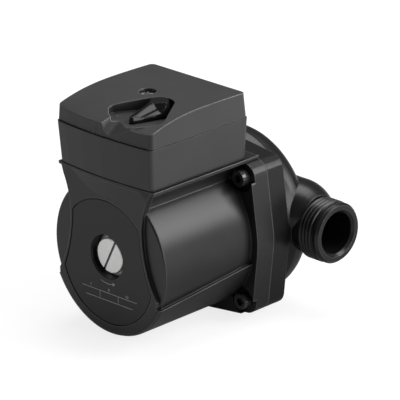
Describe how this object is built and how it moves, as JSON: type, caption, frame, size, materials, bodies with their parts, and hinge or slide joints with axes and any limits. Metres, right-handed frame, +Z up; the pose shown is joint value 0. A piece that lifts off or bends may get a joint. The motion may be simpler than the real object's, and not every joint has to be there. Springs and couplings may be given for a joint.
{
  "type": "circulation pump",
  "caption": "Inline glandless circulation pump with threaded pipe ports, a wet-rotor motor, a terminal box and a turning speed knob.",
  "frame": {"origin": "crossing of the line through the two pipe ports with the motor axis", "axes": "+X along the pipe towards the outlet port; -Y along the motor axis to the motor's front face with the name plate and the vent plug; +Z up to the terminal box"},
  "size_m": [0.13, 0.1243, 0.1258],
  "materials": {
    "casing_paint": "semi-gloss black coating on cast iron",
    "motor_paint": "semi-gloss black coating on cast aluminium",
    "gasket_rubber": "matt",
    "stainless": "satin",
    "impeller_plastic": "moulded composite",
    "brass": "satin",
    "carbon": null,
    "ceramic": null,
    "lamination": "stacked electrical sheet",
    "copper_wire": null,
    "black_screw": "glossy black coating on steel",
    "plate_film": "printed film, semi-gloss, with plain table rules and a turning arrow",
    "plug_metal": "nickel-plated brass, bright satin",
    "box_plastic": "fine-grained black moulding",
    "lid_plastic": "fine-grained black moulding, satin",
    "zinc_screw": "zinc-plated",
    "lead_sleeve": "insulation sleeve",
    "capacitor_case": "moulded case",
    "switch_plastic": "moulded",
    "spindle_plastic": "moulded, natural",
    "board": "glass-fibre board with solder resist",
    "block_plastic": "moulded",
    "screw_steel": "bright zinc-plated",
    "knob_plastic": "polished black",
    "gland_plastic": "moulded, satin"
  },
  "bodies": {
    "frame": {"pump_casing": "casing_paint", "casing_gasket": "gasket_rubber", "wear_ring": "stainless", "bearing_plate": "stainless", "rear_bearing": "carbon", "rotor_can": "stainless", "can_front_seal": "gasket_rubber", "front_bearing": "carbon", "front_bearing_holder": "stainless", "stator_core": "lamination", "stator_winding": "copper_wire", "motor_housing": "motor_paint", "flange_screws": "black_screw", "name_plate": "plate_film", "box_gasket": "gasket_rubber", "terminal_box_base": "box_plastic", "box_screws": "zinc_screw", "winding_leads": "lead_sleeve", "lead_grommet": "gasket_rubber", "capacitor": "capacitor_case", "capacitor_clip": "zinc_screw", "switch_body": "switch_plastic", "contact_board": "board", "terminal_block": "block_plastic", "terminal_screws": "zinc_screw", "earth_screw": "zinc_screw", "gland_body": "gland_plastic", "gland_seal": "gasket_rubber", "gland_nut": "gland_plastic", "gland_locknut": "gland_plastic"},
    "rotor": {"shaft": "ceramic", "rotor_core": "lamination", "rotor_jacket": "stainless", "thrust_ring": "carbon", "thrust_cushion": "gasket_rubber", "impeller": "impeller_plastic", "impeller_nut": "brass"},
    "vent_seal_ring": {"vent_seal": "gasket_rubber"},
    "vent_plug": {"vent_plug": "plug_metal"},
    "lid": {"terminal_box_lid": "lid_plastic", "lid_gasket": "gasket_rubber"},
    "lid_screw": {"lid_screw": "screw_steel"},
    "knob": {"speed_knob": "knob_plastic", "knob_ring": "stainless"},
    "spindle": {"switch_spindle": "spindle_plastic"}
  },
  "joints": [
    {"name": "rotor_spin", "type": "hinge", "parent": "frame", "child": "rotor", "pos_m": [0, 0, 0], "axis": [0, 1, 0], "continuous": true},
    {"name": "vent_seal_travel", "type": "slide", "parent": "frame", "child": "vent_seal_ring", "axis": [0, -1, 0], "range_m": [0, 0.009]},
    {"name": "vent_plug_turn", "type": "hinge", "parent": "vent_seal_ring", "child": "vent_plug", "pos_m": [0, 0, 0], "axis": [0, -1, 0], "range_deg": [0, 2160]},
    {"name": "lid_lift", "type": "slide", "parent": "frame", "child": "lid", "axis": [0, 0, 1], "range_m": [0, 0.03]},
    {"name": "lid_screw_turn", "type": "hinge", "parent": "lid", "child": "lid_screw", "pos_m": [-0.0036, -0.0683, 0], "axis": [0, 0, 1], "range_deg": [0, 1440]},
    {"name": "knob_turn", "type": "hinge", "parent": "lid", "child": "knob", "pos_m": [0.0125, -0.0775, 0], "axis": [0, 0, 1], "range_deg": [-36, 36]},
    {"name": "spindle_turn", "type": "hinge", "parent": "frame", "child": "spindle", "pos_m": [0.0125, -0.0775, 0], "axis": [0, 0, 1], "range_deg": [-36, 36]}
  ],
  "couplings": [
    {"joint": "spindle_turn", "follows": "knob_turn", "ratio": 1},
    {"joint": "vent_seal_travel", "follows": "vent_plug_turn", "m_per_rad": 0.0002387}
  ]
}
